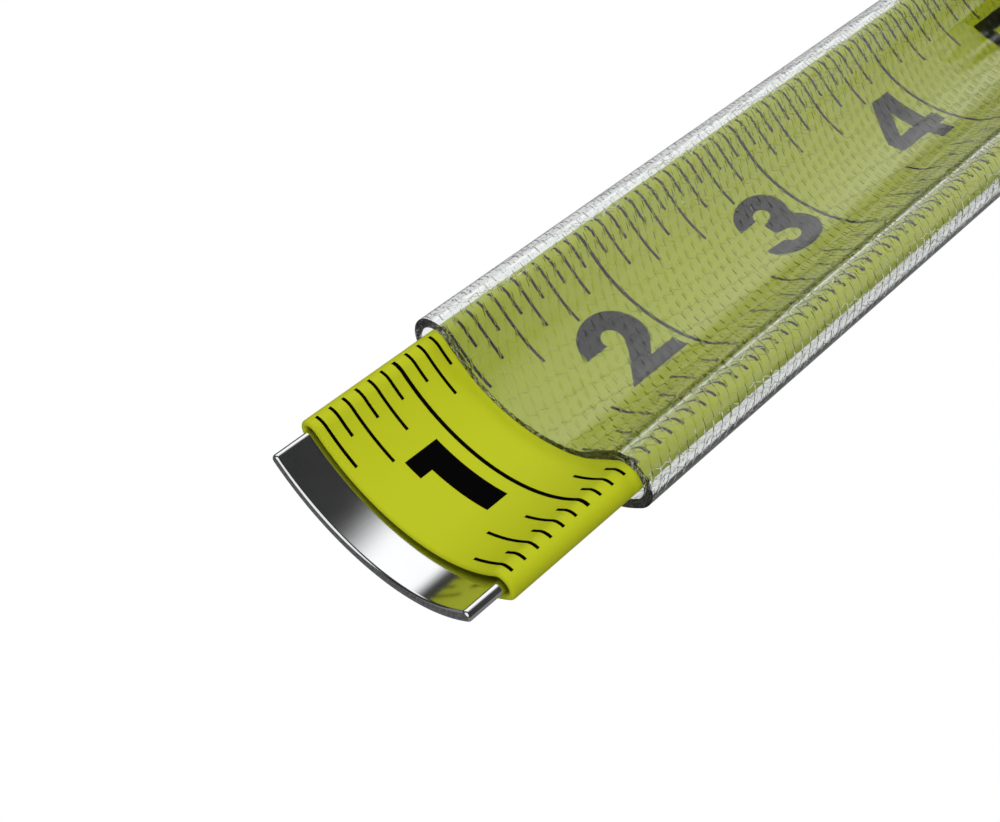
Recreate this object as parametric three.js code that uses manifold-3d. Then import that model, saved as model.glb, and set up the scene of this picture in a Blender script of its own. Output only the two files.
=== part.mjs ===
// A pocket tape measure with its blade drawn out and locked. Units are millimetres and +Z is up.
// +X is the way the blade is pulled out. The origin is the middle of the case's flat base.

import * as THREE from "three";
import { mergeVertices } from "three/addons/utils/BufferGeometryUtils.js";
import Module from "manifold-3d";

const wasm = await Module();
wasm.setup();

// ---------- Driving dimensions ----------

const GAP = 0.3; // between pieces that touch or slide
const BEYOND = 100; // a distance outside every side of the case, for cuts that go right through
const SCALE_ZERO_X = 192; // where the blade's inch scale would start

// The blade's centre line in section: an arc about (0, z), bent upwards at both edges.
const CUP = { z: 25, radius: 18, edgeY: 12 };
CUP.angle = Math.asin(CUP.edgeY / CUP.radius);

const STEEL = { half: 0.58, frontX: SCALE_ZERO_X - 10.55 };
const COAT = { half: 1.55, wall: 0.67, frontX: SCALE_ZERO_X - 14.8 };
const JACKET = { half: 2.5, edgeHalf: 3.1, wall: 0.63, edgeWall: 1.0, frontX: SCALE_ZERO_X - 30.75 };
const BLADE_INNER_X = 8; // inner end of the cupped stretch
const TAIL_THICKNESS = 0.3;
const BLADE_CLEARANCE = 0.4; // between the jacket and what it runs over or under

const COIL = { x: -9, z: 43.5, radius: 28, halfWidth: 12.6, strip: 1.2, turns: 7.2 };
const DRUM = { innerRadius: 14, outerRadius: 15.5, halfWidth: 13.4, flangeRadius: 23, flange: 1.2, boreRadius: 7 };
const SPINDLE = { radius: 4, halfLength: 16.3, boreRadius: 1.9, slot: 1.1 };
const SPRING = { halfWidth: 11, strip: 0.45, innerRadius: 4.8, outerRadius: 13.2, turns: 8 };

// The case: its side outline as corners [x, z, corner radius], widths, and the line where its halves meet.
const CASE_CORNERS = [
  [-44, 0, 10],
  [44, 0, 3],
  [44, 24, 12],
  [22.2, 78.5, 18],
  [-44, 78.5, 27],
];
const CASE = { halfWidth: 19, wall: 2.4, edge: 2.5, seamY: 2, bossRadius: 6.6 };
const GRIP = { thickness: 1.5, edge: 3.2, lowZ: 9, sideX: -31, rimZ: 73.5, rimX: 14 };
const GROOVE = { count: 5, lowZ: 25, pitch: 7, width: 2.2, halfLength: 14, depth: 0.9 };
const MOUTH = { halfWidth: 15.7, top: 15.3, depth: 8, guideTop: 9 };
const BUMPER = { halfWidth: 17.6, lowZ: 1, topZ: 19.5, thickness: 2, lowCorner: 2, topCorner: 3, sill: 1 };
const POSTS = [
  [-36, 19.6],
  [-32, 66],
  [16, 69],
  [28, 20],
];
const POST = { radius: 2.8, boreRadius: 1.5, blindY: 13 };
const SCREW = { headRadius: 2.6, head: 1.7, shankRadius: 1.2, tipY: 12, crossLong: 1.5, crossShort: 0.35 };

// The lock runs on the case's front slope, in coordinates along it (u, upwards) and out of it (n).
const SLOPE = { x: 44, z: 24, angle: Math.atan2(54.5, -21.8) };
const LOCK = { travel: 9, stemLow: 13, stemHigh: 20, stemHalf: 3.6, halfWidth: 8.5, plate: 2.3, slide: 0.5 };
const BUTTON_PROFILE = [
  [8.5, 0.4],
  [29, 0.4],
  [28.6, 3.4],
  [25.5, 4.9],
  [21.5, 3.4],
  [16, 2.7],
  [11.5, 3.4],
  [8.9, 2.6],
];
const TONGUE = { lowU: 2.5, highU: 27 };
// The brake shoe hangs from the tongue's foot, whose outline is given in X and Z.
const SHOE = { backX: 35.5, frontX: 40.8, topZ: 16.2, halfWidth: 6.5 };
const FOOT_OUTLINE = [
  [SHOE.backX, SHOE.topZ],
  [SHOE.frontX, SHOE.topZ],
  [SHOE.frontX, 23.4],
  [38.6, 27.6],
  [36.4, 26.6],
  [37.6, 23],
];

const CLIP = { halfWidth: 10, thickness: 1.1, bendRadius: 3.2, bendZ: 66, lowZ: 34, footZ: 16 };
const CLIP_HEAD = { radius: 3.3, neck: 1.6, depth: 1.9, slotHalf: 0.45, slotDepth: 0.8, sinkRadius: 3.7 };
const BADGE = { radius: 15, thickness: 1.1, sunk: 0.3, seatDepth: 0.6 };

// ---------- Materials ----------

const material = (color, roughness, metalness = 0, opacity = 1) =>
  new THREE.MeshStandardMaterial({ color, roughness, metalness, opacity, transparent: opacity < 1 });

const LOOKS = {
  polishedSteel: material(0xb8babd, 0.12, 1),
  springSteel: material(0x6f7378, 0.35, 1),
  yellowGreen: material(0xb6be1f, 0.45),
  clear: material(0xeef3f5, 0.08, 0, 0.35),
  shell: material(0x3b3f44, 0.5),
  rubber: material(0x17181a, 0.85),
  plastic: material(0x8a8f94, 0.55),
  whitePlastic: material(0xd9dadb, 0.5),
  clipSteel: material(0x9da1a5, 0.3, 1),
  screwSteel: material(0x8c8f93, 0.3, 1),
};

// ---------- Solids ----------

// A closed geometry as a solid that can be joined and cut.
function solid(geometry) {
  const bare = geometry.index ? geometry.toNonIndexed() : geometry.clone();
  bare.deleteAttribute("normal");
  bare.deleteAttribute("uv");
  const merged = mergeVertices(bare, 1e-4);
  return new wasm.Manifold(
    new wasm.Mesh({
      numProp: 3,
      vertProperties: merged.attributes.position.array,
      triVerts: new Uint32Array(merged.index.array),
    }),
  );
}

// A solid as a geometry again.
function geometryOf(body) {
  const mesh = body.getMesh();
  const geometry = new THREE.BufferGeometry();
  geometry.setAttribute("position", new THREE.BufferAttribute(new Float32Array(mesh.vertProperties), 3));
  geometry.setIndex(new THREE.BufferAttribute(new Uint32Array(mesh.triVerts), 1));
  geometry.computeVertexNormals();
  return geometry;
}

const reachOf = (half) => [-half, half];
const join = (...bodies) => bodies.reduce((all, body) => all.add(body));
const cut = (body, ...tools) => tools.reduce((left, tool) => left.subtract(tool), body);

function box([x0, x1], [y0, y1], [z0, z1]) {
  const block = new THREE.BoxGeometry(x1 - x0, y1 - y0, z1 - z0);
  return solid(block.translate((x0 + x1) / 2, (y0 + y1) / 2, (z0 + z1) / 2));
}

// A round bar across the case, along Y.
function barY(x, z, radius, [y0, y1], sides = 20, topRadius = radius) {
  const bar = new THREE.CylinderGeometry(topRadius, radius, y1 - y0, sides);
  return solid(bar.translate(x, (y0 + y1) / 2, z));
}

// A round bar along the blade, about the centre of its cup.
function cupBar(radius, [x0, x1], sides = 64) {
  const bar = new THREE.CylinderGeometry(radius, radius, x1 - x0, sides);
  return solid(bar.rotateZ(Math.PI / 2).translate((x0 + x1) / 2, 0, CUP.z));
}

// A ring about the reel's axis: the profile is a list of [radius, y] corners.
function reelRing(profile, sides = 48) {
  const points = [...profile, profile[0]].map(([r, y]) => new THREE.Vector2(r, y));
  return new THREE.LatheGeometry(points, sides).translate(COIL.x, 0, COIL.z);
}

// A shape drawn in X and Z, made as thick as Y says, with its edges rounded by edge.
function sideProfile(shape, [y0, y1], edge = 0, curveSegments = 8) {
  const geometry = new THREE.ExtrudeGeometry(shape, {
    depth: y1 - y0 - 2 * edge,
    bevelEnabled: edge > 0,
    bevelThickness: edge,
    bevelSize: edge,
    bevelOffset: -edge,
    bevelSegments: 3,
    curveSegments,
  });
  return solid(geometry.rotateX(Math.PI / 2).translate(0, y1 - edge, 0));
}

// A shape drawn in Y and Z, drawn out along X.
function alongBlade(shape, [x0, x1]) {
  const geometry = new THREE.ExtrudeGeometry(shape, { depth: x1 - x0, bevelEnabled: false });
  const axes = new THREE.Matrix4().makeBasis(
    new THREE.Vector3(0, 1, 0),
    new THREE.Vector3(0, 0, 1),
    new THREE.Vector3(1, 0, 0),
  );
  return geometry.applyMatrix4(axes).translate(x0, 0, 0);
}

// ---------- Outlines ----------

// The corners of a convex outline, moved outwards by grow.
function grown(corners, grow) {
  const points = corners.map(([x, z]) => new THREE.Vector2(x, z));
  const count = points.length;
  return corners.map(([, , radius], i) => {
    const before = points[(i + count - 1) % count];
    const here = points[i];
    const after = points[(i + 1) % count];
    const inward = here.clone().sub(before).normalize();
    const onward = after.clone().sub(here).normalize();
    const turn = inward.cross(onward);
    const shift = inward.clone().sub(onward).multiplyScalar(grow / turn);
    return [here.x + shift.x, here.y + shift.y, Math.max(radius + grow, 0.2)];
  });
}

// A convex outline with an arc at each corner.
function rounded(corners) {
  const shape = new THREE.Shape();
  const count = corners.length;
  corners.forEach(([x, z, radius], i) => {
    const here = new THREE.Vector2(x, z);
    const [px, pz] = corners[(i + count - 1) % count];
    const [nx, nz] = corners[(i + 1) % count];
    const back = new THREE.Vector2(px, pz).sub(here).normalize();
    const on = new THREE.Vector2(nx, nz).sub(here).normalize();
    const half = Math.acos(back.dot(on)) / 2;
    const centre = back.clone().add(on).normalize().multiplyScalar(radius / Math.sin(half)).add(here);
    const start = back.multiplyScalar(radius / Math.tan(half)).add(here).sub(centre);
    const end = on.multiplyScalar(radius / Math.tan(half)).add(here).sub(centre);
    shape.absarc(centre.x, centre.y, radius, start.angle(), end.angle(), false);
  });
  return shape;
}

const caseOutline = (grow = 0) => rounded(grown(CASE_CORNERS, grow));

// A point on the blade's section, at an angle from the middle and a distance from the cup's centre.
const onCup = (angle, radius) => new THREE.Vector2(radius * Math.sin(angle), CUP.z - radius * Math.cos(angle));

// The section of a cupped band with round edges. It may be thicker at its edges than in the middle.
function cupped(middle, edge = middle, arcSteps = 18, endSteps = 8) {
  const half = (angle) =>
    middle + (edge - middle) * THREE.MathUtils.smoothstep(Math.abs(angle) / CUP.angle, 0.55, 0.88);
  const points = [];
  const arc = (side) => {
    for (let i = 0; i <= arcSteps; i++) {
      const angle = side * CUP.angle * ((2 * i) / arcSteps - 1);
      points.push(onCup(angle, CUP.radius + side * half(angle)));
    }
  };
  const end = (side) => {
    const centre = onCup(side * CUP.angle, CUP.radius);
    const first = side > 0 ? CUP.angle - Math.PI / 2 : Math.PI / 2 - CUP.angle;
    for (let i = 1; i < endSteps; i++) {
      const angle = first + (Math.PI * i) / endSteps;
      points.push(new THREE.Vector2(centre.x + edge * Math.cos(angle), centre.y + edge * Math.sin(angle)));
    }
  };
  arc(1);
  end(1);
  arc(-1);
  end(-1);
  return points;
}

function sleeve(outer, inner, range) {
  const shape = new THREE.Shape(outer);
  shape.holes.push(new THREE.Path(inner));
  return alongBlade(shape, range);
}

// A strip wound from outerRadius at the bottom inwards, against the way the reel turns when it pays out.
function woundStrip({ innerRadius, outerRadius, strip, turns, halfWidth, tab = 0 }, stepsPerTurn) {
  const steps = Math.round(turns * stepsPerTurn);
  const middle = outerRadius - strip / 2;
  const inner = innerRadius + strip / 2;
  const edge = (side) =>
    Array.from({ length: steps + 1 }, (_, i) => {
      const angle = -Math.PI / 2 - (2 * Math.PI * turns * i) / steps;
      const radius = middle - ((middle - inner) * i) / steps + (side * strip) / 2;
      return new THREE.Vector2(radius * Math.cos(angle), radius * Math.sin(angle));
    });
  const outerEdge = edge(1);
  const innerEdge = edge(-1).reverse();
  const shape = new THREE.Shape([...outerEdge, ...innerEdge]);
  const strips = [sideProfile(shape, [-halfWidth, halfWidth])];
  if (tab > 0) {
    const last = -Math.PI / 2 - 2 * Math.PI * turns;
    const bent = box([innerRadius - tab, innerRadius + strip / 2], reachOf(halfWidth), reachOf(strip / 2));
    strips.push(bent.rotate([0, (-last * 180) / Math.PI, 0]));
  }
  return join(...strips).translate([COIL.x, 0, COIL.z]);
}

// ---------- Blade ----------

const bladeRange = (layer) => [BLADE_INNER_X, layer.frontX];

const steelCore = () => alongBlade(new THREE.Shape(cupped(STEEL.half)), bladeRange(STEEL));

const printedCoat = () => sleeve(cupped(COAT.half), cupped(COAT.half - COAT.wall), bladeRange(COAT));

const clearJacket = () =>
  sleeve(
    cupped(JACKET.half, JACKET.edgeHalf),
    cupped(JACKET.half - JACKET.wall, JACKET.edgeHalf - JACKET.edgeWall),
    bladeRange(JACKET),
  );

// The blade's thin inner stretch: it flattens and rises from the cupped section to the bottom of the coil.
function bladeTail() {
  const length = BLADE_INNER_X - GAP - COIL.x;
  const coilBottom = COIL.z - COIL.radius;
  const strip = new THREE.BoxGeometry(length, 2 * COIL.halfWidth, TAIL_THICKNESS, 8, 12, 1);
  const point = new THREE.Vector3();
  const vertices = strip.attributes.position;
  for (let i = 0; i < vertices.count; i++) {
    point.fromBufferAttribute(vertices, i);
    const share = THREE.MathUtils.smoothstep(point.x / length + 0.5, 0, 1);
    const angle = point.y / CUP.radius;
    const cup = onCup(angle, CUP.radius - point.z);
    const flatZ = coilBottom - GAP - TAIL_THICKNESS / 2 + point.z;
    vertices.setXYZ(
      i,
      COIL.x + length / 2 + point.x,
      THREE.MathUtils.lerp(point.y, cup.x, share),
      THREE.MathUtils.lerp(flatZ, cup.y, share),
    );
  }
  return strip;
}

// ---------- Reel ----------

const bladeCoil = () =>
  geometryOf(woundStrip({ ...COIL, innerRadius: DRUM.outerRadius + GAP, outerRadius: COIL.radius }, 24));

const reelDrum = () =>
  reelRing([
    [DRUM.innerRadius, -DRUM.halfWidth],
    [DRUM.outerRadius, -DRUM.halfWidth],
    [DRUM.outerRadius, DRUM.halfWidth],
    [DRUM.flangeRadius, DRUM.halfWidth],
    [DRUM.flangeRadius, DRUM.halfWidth + DRUM.flange],
    [DRUM.boreRadius, DRUM.halfWidth + DRUM.flange],
    [DRUM.boreRadius, DRUM.halfWidth],
    [DRUM.innerRadius, DRUM.halfWidth],
  ]);

const discAcross = (innerRadius, outerRadius, [y0, y1]) =>
  reelRing([
    [innerRadius, y0],
    [outerRadius, y0],
    [outerRadius, y1],
    [innerRadius, y1],
  ]);

function reelCover() {
  const inner = -DRUM.halfWidth - GAP;
  return discAcross(DRUM.boreRadius, DRUM.flangeRadius, [inner - DRUM.flange + GAP, inner]);
}

function slipDisc(side) {
  const near = DRUM.halfWidth + DRUM.flange + 2 * GAP;
  const reach = [near, near + 0.6].map((y) => side * y).sort((a, b) => a - b);
  return discAcross(DRUM.boreRadius, DRUM.flangeRadius - 1, reach);
}

const powerSpring = () => geometryOf(woundStrip({ ...SPRING, tab: 1.8 }, 20));

// The fixed post: a slot holds the spring's inner end, and a bore takes the clip's screw.
function spindle() {
  const post = barY(COIL.x, COIL.z, SPINDLE.radius, [-SPINDLE.halfLength, SPINDLE.halfLength], 28);
  const bore = barY(COIL.x, COIL.z, SPINDLE.boreRadius, [-SPINDLE.halfLength - 1, -4]);
  const slotAngle = 90 + 360 * SPRING.turns;
  const slot = box([0, SPINDLE.radius + 1], reachOf(SPRING.halfWidth + 1), reachOf(SPINDLE.slot / 2))
    .rotate([0, slotAngle, 0])
    .translate([COIL.x, 0, COIL.z]);
  return geometryOf(cut(post, bore, slot));
}

// ---------- Case ----------

// A body drawn on the case's front slope, as corners [u, n], and put in place there.
function onSlope(corners, [y0, y1], edge = 0) {
  const shape = new THREE.Shape(corners.map(([u, n]) => new THREE.Vector2(u, -n)));
  const degrees = (SLOPE.angle * 180) / Math.PI;
  return sideProfile(shape, [y0, y1], edge).rotate([0, -degrees, 0]).translate([SLOPE.x, 0, SLOPE.z]);
}

const band = (u0, u1, n0, n1) => [
  [u0, n1],
  [u1, n1],
  [u1, n0],
  [u0, n0],
];

// Holes for a case screw: its head, its shank and its blind thread.
function screwHoles([x, z]) {
  const outer = -CASE.halfWidth - GRIP.thickness - 1;
  const seat = -CASE.halfWidth + SCREW.head + GAP;
  return join(
    barY(x, z, SCREW.headRadius + GAP, [outer, seat], 24),
    barY(x, z, POST.boreRadius, [seat - 1, POST.blindY], 14),
  );
}

// Both halves of the case in one, before they are parted.
function wholeCase() {
  const inside = CASE.halfWidth - CASE.wall;
  const bossFrom = DRUM.halfWidth - GAP;
  const skin = cut(
    sideProfile(caseOutline(), [-CASE.halfWidth, CASE.halfWidth], CASE.edge),
    sideProfile(caseOutline(-CASE.wall), [-inside, inside]),
  );
  const posts = POSTS.map(([x, z]) => barY(x, z, POST.radius, [-inside - 0.5, inside + 0.5]));
  const bosses = [-1, 1].map((side) => {
    const reach = [side * bossFrom, side * (inside + 0.5)].sort((a, b) => a - b);
    return barY(COIL.x, COIL.z, CASE.bossRadius, reach, 32);
  });
  const front = CASE_CORNERS[1][0];
  const mouth = box([front - 2 * MOUTH.depth, BEYOND], reachOf(MOUTH.halfWidth), [CASE.wall, MOUTH.top]);
  const slot = onSlope(
    band(LOCK.stemLow - LOCK.slide, LOCK.stemHigh + LOCK.travel + LOCK.slide, -CASE.wall - 2, 2),
    reachOf(LOCK.stemHalf + LOCK.slide),
  );
  const socket = barY(COIL.x, COIL.z, SPINDLE.radius + GAP, [-inside, inside], 28);
  const clipHole = barY(COIL.x, COIL.z, SPINDLE.boreRadius, [-CASE.halfWidth - 1, 0]);
  const clipSink = barY(COIL.x, COIL.z, CLIP_HEAD.sinkRadius, [-CASE.halfWidth - 1, -CASE.halfWidth + 1], 24);
  const seatFrom = CASE.halfWidth - BADGE.seatDepth;
  const badgeSeat = barY(COIL.x, COIL.z, BADGE.radius + GAP, [seatFrom, CASE.halfWidth + 1], 48);
  return cut(
    join(skin, ...posts, ...bosses),
    mouth,
    slot,
    socket,
    clipHole,
    clipSink,
    badgeSeat,
    ...POSTS.map(screwHoles),
  );
}

// One side of a body that the case's seam parts.
function halfOf(body, side) {
  const reach = [CASE.seamY + (side * GAP) / 2, side * BEYOND].sort((a, b) => a - b);
  return geometryOf(body.intersect(box([-BEYOND, BEYOND], reach, [-BEYOND, BEYOND])));
}

// The rubber overmould: a skin over the back and the top rim, cut to a curved edge on the sides.
function wholeGrip() {
  const y = CASE.halfWidth;
  const outer = sideProfile(
    caseOutline(GRIP.thickness + GAP),
    [-y - GRIP.thickness, y + GRIP.thickness],
    GRIP.edge,
  );
  const inner = sideProfile(caseOutline(GAP), [-y - GAP, y + GAP], CASE.edge);
  const cover = new THREE.Shape();
  cover.moveTo(-BEYOND, GRIP.lowZ);
  cover.lineTo(GRIP.sideX, GRIP.lowZ);
  cover.bezierCurveTo(-24, 26, -28, 50, -23, 64);
  cover.bezierCurveTo(-20, 71, -10, GRIP.rimZ, GRIP.rimX, GRIP.rimZ);
  cover.lineTo(GRIP.rimX + 3, BEYOND);
  cover.lineTo(-BEYOND, BEYOND);
  cover.closePath();
  const grooveX = CASE_CORNERS[0][0] - GAP - GROOVE.depth;
  const grooves = Array.from({ length: GROOVE.count }, (_, i) => {
    const z = GROOVE.lowZ + GROOVE.pitch * i;
    return box([-BEYOND, grooveX], [-GROOVE.halfLength, GROOVE.halfLength], [z, z + GROOVE.width]);
  });
  const skin = cut(outer, inner, ...grooves, ...POSTS.map(screwHoles));
  return skin.intersect(sideProfile(cover, reachOf(BEYOND)));
}

function caseScrew([x, z]) {
  const top = -CASE.halfWidth;
  const head = barY(x, z, SCREW.headRadius, [top, top + SCREW.head], 22);
  const shank = barY(x, z, SCREW.shankRadius, [top + 0.5, SCREW.tipY], 12);
  const arm = (w, h) => box([x - w, x + w], [top - 1, top + 1], [z - h, z + h]);
  const { crossLong, crossShort } = SCREW;
  return geometryOf(cut(join(head, shank), arm(crossLong, crossShort), arm(crossShort, crossLong)));
}

// A cupped plate in the floor of the mouth, which the blade slides on.
function mouthGuide() {
  const front = CASE_CORNERS[1][0];
  const halfWidth = MOUTH.halfWidth - GAP;
  const plate = box([front - MOUTH.depth, front], reachOf(halfWidth), [CASE.wall + GAP, MOUTH.guideTop]);
  const channel = cupBar(CUP.radius + JACKET.edgeHalf + BLADE_CLEARANCE, [0, BEYOND], 72);
  return geometryOf(cut(plate, channel));
}

function noseBumper() {
  const front = CASE_CORNERS[1][0] + GAP;
  const { halfWidth, lowZ, topZ, lowCorner, topCorner } = BUMPER;
  const frame = rounded([
    [-halfWidth, lowZ, lowCorner],
    [halfWidth, lowZ, lowCorner],
    [halfWidth, topZ, topCorner],
    [-halfWidth, topZ, topCorner],
  ]);
  const sillZ = CASE.wall + BUMPER.sill;
  frame.holes.push(
    new THREE.Path([
      new THREE.Vector2(-MOUTH.halfWidth, sillZ),
      new THREE.Vector2(-MOUTH.halfWidth, MOUTH.top),
      new THREE.Vector2(MOUTH.halfWidth, MOUTH.top),
      new THREE.Vector2(MOUTH.halfWidth, sillZ),
    ]),
  );
  return alongBlade(frame, [front, front + BUMPER.thickness]);
}

function badge() {
  const from = CASE.halfWidth - BADGE.sunk;
  return geometryOf(barY(COIL.x, COIL.z, BADGE.radius, [from, from + BADGE.thickness], 56));
}

// ---------- Lock ----------

function lockButton() {
  const pad = onSlope(BUTTON_PROFILE, reachOf(LOCK.halfWidth), 0.35);
  const stem = onSlope(band(LOCK.stemLow, LOCK.stemHigh, -CASE.wall - GAP, 1.2), reachOf(LOCK.stemHalf));
  return geometryOf(join(pad, stem));
}

// The arm that runs down inside the slope to the brake shoe.
function lockTongue() {
  const top = -CASE.wall - 2 * GAP;
  const arm = onSlope(band(TONGUE.lowU, TONGUE.highU, top - LOCK.plate, top), reachOf(LOCK.halfWidth));
  const foot = new THREE.Shape(FOOT_OUTLINE.map(([x, z]) => new THREE.Vector2(x, z)));
  return geometryOf(join(arm, sideProfile(foot, reachOf(LOCK.halfWidth))));
}

// The shoe that hangs in the blade's cup and presses on it.
function lockPad() {
  const block = box([SHOE.backX, SHOE.frontX], reachOf(SHOE.halfWidth), [0, SHOE.topZ - GAP]);
  return geometryOf(block.intersect(cupBar(CUP.radius - JACKET.half - BLADE_CLEARANCE, [0, BEYOND])));
}

// ---------- Belt clip ----------

const CLIP_INNER_Y = -CASE.halfWidth - GAP - CLIP.thickness / 2;
const CLIP_BEND_Y = CLIP_INNER_Y - CLIP.bendRadius;

// The clip's centre line in Y and Z, from the plate's low end over the bend to the flared foot.
function clipLine(part) {
  const { bendRadius, bendZ } = CLIP;
  const bend = (from, to) =>
    Array.from({ length: 7 }, (_, i) => {
      const angle = from + ((to - from) * i) / 6;
      return [CLIP_BEND_Y + bendRadius * Math.cos(angle), bendZ + bendRadius * Math.sin(angle)];
    });
  const split = 0.08; // half the angle left open where plate and arm meet, so that the arm can flex
  if (part === "plate") return [[CLIP_INNER_Y, CLIP.lowZ], ...bend(0, Math.PI / 2 - split)];
  const outerY = CLIP_BEND_Y - bendRadius;
  const foot = [
    [outerY + 0.5, CLIP.footZ + 10],
    [outerY + 0.2, CLIP.footZ + 6.5],
    [outerY - 1.8, CLIP.footZ],
  ];
  return [...bend(Math.PI / 2 + split, Math.PI), ...foot];
}

// A strip of the clip's thickness about a line, as wide as the clip.
function clipStrip(line) {
  const points = line.map(([y, z]) => new THREE.Vector2(y, z));
  const side = (sign) =>
    points.map((point, i) => {
      const before = points[Math.max(i - 1, 0)];
      const after = points[Math.min(i + 1, points.length - 1)];
      const along = after.clone().sub(before).normalize();
      const shift = new THREE.Vector2(-along.y, along.x).multiplyScalar((sign * CLIP.thickness) / 2);
      return point.clone().add(shift);
    });
  const shape = new THREE.Shape([...side(1), ...side(-1).reverse()]);
  return solid(alongBlade(shape, [COIL.x - CLIP.halfWidth, COIL.x + CLIP.halfWidth]));
}

function clipHead(grow = 0) {
  const { radius, neck, depth } = CLIP_HEAD;
  const outer = -CASE.halfWidth - GAP - CLIP.thickness;
  return barY(COIL.x, COIL.z, radius + grow, [outer, outer + depth], 24, neck + grow);
}

const clipPlate = () => geometryOf(cut(clipStrip(clipLine("plate")), clipHead(GAP)));

const clipArm = () => geometryOf(clipStrip(clipLine("arm")));

function clipScrew() {
  const outer = -CASE.halfWidth - GAP - CLIP.thickness;
  const shank = barY(COIL.x, COIL.z, CLIP_HEAD.neck, [outer + 1, -6], 16);
  const { radius, slotHalf, slotDepth } = CLIP_HEAD;
  const slot = box(reachOf(radius + 1), [outer - 1, outer + slotDepth], reachOf(slotHalf));
  return geometryOf(cut(join(clipHead(), shank), slot.translate([COIL.x, 0, COIL.z])));
}

// ---------- Assembly ----------

function group(name, pieces) {
  const made = new THREE.Group();
  made.name = name;
  for (const [pieceName, geometry, look] of pieces) {
    const mesh = new THREE.Mesh(geometry, look);
    mesh.name = pieceName;
    made.add(mesh);
  }
  return made;
}

const shells = wholeCase();
const rubber = wholeGrip();

const tape = new THREE.Group();
tape.add(
  group("blade", [
    ["steel_core", steelCore(), LOOKS.polishedSteel],
    ["printed_coat", printedCoat(), LOOKS.yellowGreen],
    ["clear_jacket", clearJacket(), LOOKS.clear],
    ["blade_tail", bladeTail(), LOOKS.yellowGreen],
  ]),
  group("reel", [
    ["blade_coil", bladeCoil(), LOOKS.yellowGreen],
    ["reel_drum", reelDrum(), LOOKS.plastic],
    ["reel_cover", reelCover(), LOOKS.plastic],
  ]),
  group("case", [
    ["case_left", halfOf(shells, 1), LOOKS.shell],
    ["case_right", halfOf(shells, -1), LOOKS.shell],
    ["grip_left", halfOf(rubber, 1), LOOKS.rubber],
    ["grip_right", halfOf(rubber, -1), LOOKS.rubber],
    ["mouth_guide", mouthGuide(), LOOKS.whitePlastic],
    ["nose_bumper", noseBumper(), LOOKS.rubber],
    ["badge", badge(), LOOKS.clipSteel],
    ["spindle", spindle(), LOOKS.springSteel],
    ["power_spring", powerSpring(), LOOKS.springSteel],
    ["slip_disc_left", slipDisc(1), LOOKS.whitePlastic],
    ["slip_disc_right", slipDisc(-1), LOOKS.whitePlastic],
    ["clip_plate", clipPlate(), LOOKS.clipSteel],
    ["clip_screw", clipScrew(), LOOKS.screwSteel],
    ...POSTS.map((post, i) => [`case_screw_${i + 1}`, caseScrew(post), LOOKS.screwSteel]),
  ]),
  group("lock", [
    ["lock_button", lockButton(), LOOKS.yellowGreen],
    ["lock_tongue", lockTongue(), LOOKS.plastic],
    ["lock_pad", lockPad(), LOOKS.rubber],
  ]),
  group("clip", [["clip_arm", clipArm(), LOOKS.clipSteel]]),
);

export default tape;
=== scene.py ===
"""A pocket tape measure with its cupped blade drawn out: looks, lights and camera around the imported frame.

Lengths in the code are millimetres in the row frame, and they become metres where a mesh is made.
+X is the way the blade is pulled out, +Z is up, and the origin is the middle of the case's flat base.
"""

import math

import bmesh
import bpy
import numpy as np
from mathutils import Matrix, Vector


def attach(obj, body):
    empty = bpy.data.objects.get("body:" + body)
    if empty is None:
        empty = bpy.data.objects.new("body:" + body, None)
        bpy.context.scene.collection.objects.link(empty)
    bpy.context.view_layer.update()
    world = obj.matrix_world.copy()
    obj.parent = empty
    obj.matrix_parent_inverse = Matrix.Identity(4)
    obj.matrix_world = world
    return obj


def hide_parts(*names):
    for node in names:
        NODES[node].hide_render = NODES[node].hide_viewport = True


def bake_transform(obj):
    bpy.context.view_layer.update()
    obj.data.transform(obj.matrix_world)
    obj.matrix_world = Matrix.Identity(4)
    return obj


MM = 0.001

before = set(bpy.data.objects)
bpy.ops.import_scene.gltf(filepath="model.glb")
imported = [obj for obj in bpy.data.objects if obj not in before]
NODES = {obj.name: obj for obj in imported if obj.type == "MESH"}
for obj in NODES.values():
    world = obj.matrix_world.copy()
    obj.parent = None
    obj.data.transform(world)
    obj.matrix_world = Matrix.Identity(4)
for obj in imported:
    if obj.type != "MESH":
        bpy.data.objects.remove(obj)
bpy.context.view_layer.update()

# ---------- Dimensions shared with the frame ----------

SCALE_ZERO_X = 192.0  # where the blade's inch scale would start
BLADE_INNER_X = 8.0
INCH = 25.4
CUP_Z, CUP_RADIUS, CUP_EDGE_Y = 25.0, 18.0, 12.0  # the blade's centre line in section
CUP_ANGLE = math.asin(CUP_EDGE_Y / CUP_RADIUS)
STEEL_HALF, STEEL_FRONT = 0.58, 181.45
COAT_HALF, COAT_WALL, COAT_FRONT = 1.55, 0.67, 177.2
JACKET_HALF, JACKET_EDGE, JACKET_FRONT = 2.5, 3.1, 161.25
JACKET_INNER_HALF, JACKET_INNER_EDGE = 1.87, 2.1
REEL_X, REEL_Z = -9.0, 43.5
CLIP_HALF_WIDTH, CLIP_THICKNESS = 10.0, 1.1
CLIP_BEND_Y, CLIP_BEND_Z, CLIP_BEND_RADIUS = -23.05, 66.0, 3.2


def smoothstep(value, low, high):
    share = min(max((value - low) / (high - low), 0.0), 1.0)
    return share * share * (3 - 2 * share)


# ---------- Meshes ----------

# The least angle of a sharp edge, in a mesh made here and in one of the frame's solids
SHARP_DEGREES, SOLID_SHARP_DEGREES = 35, 32


def mesh_from(name, points, faces):
    """A mesh in metres from millimetre points, facing out, smooth except at sharp edges."""
    mesh = bpy.data.meshes.new(name)
    mesh.from_pydata([tuple(MM * c for c in point) for point in points], [], faces)
    face_out(mesh)
    return mesh


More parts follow.
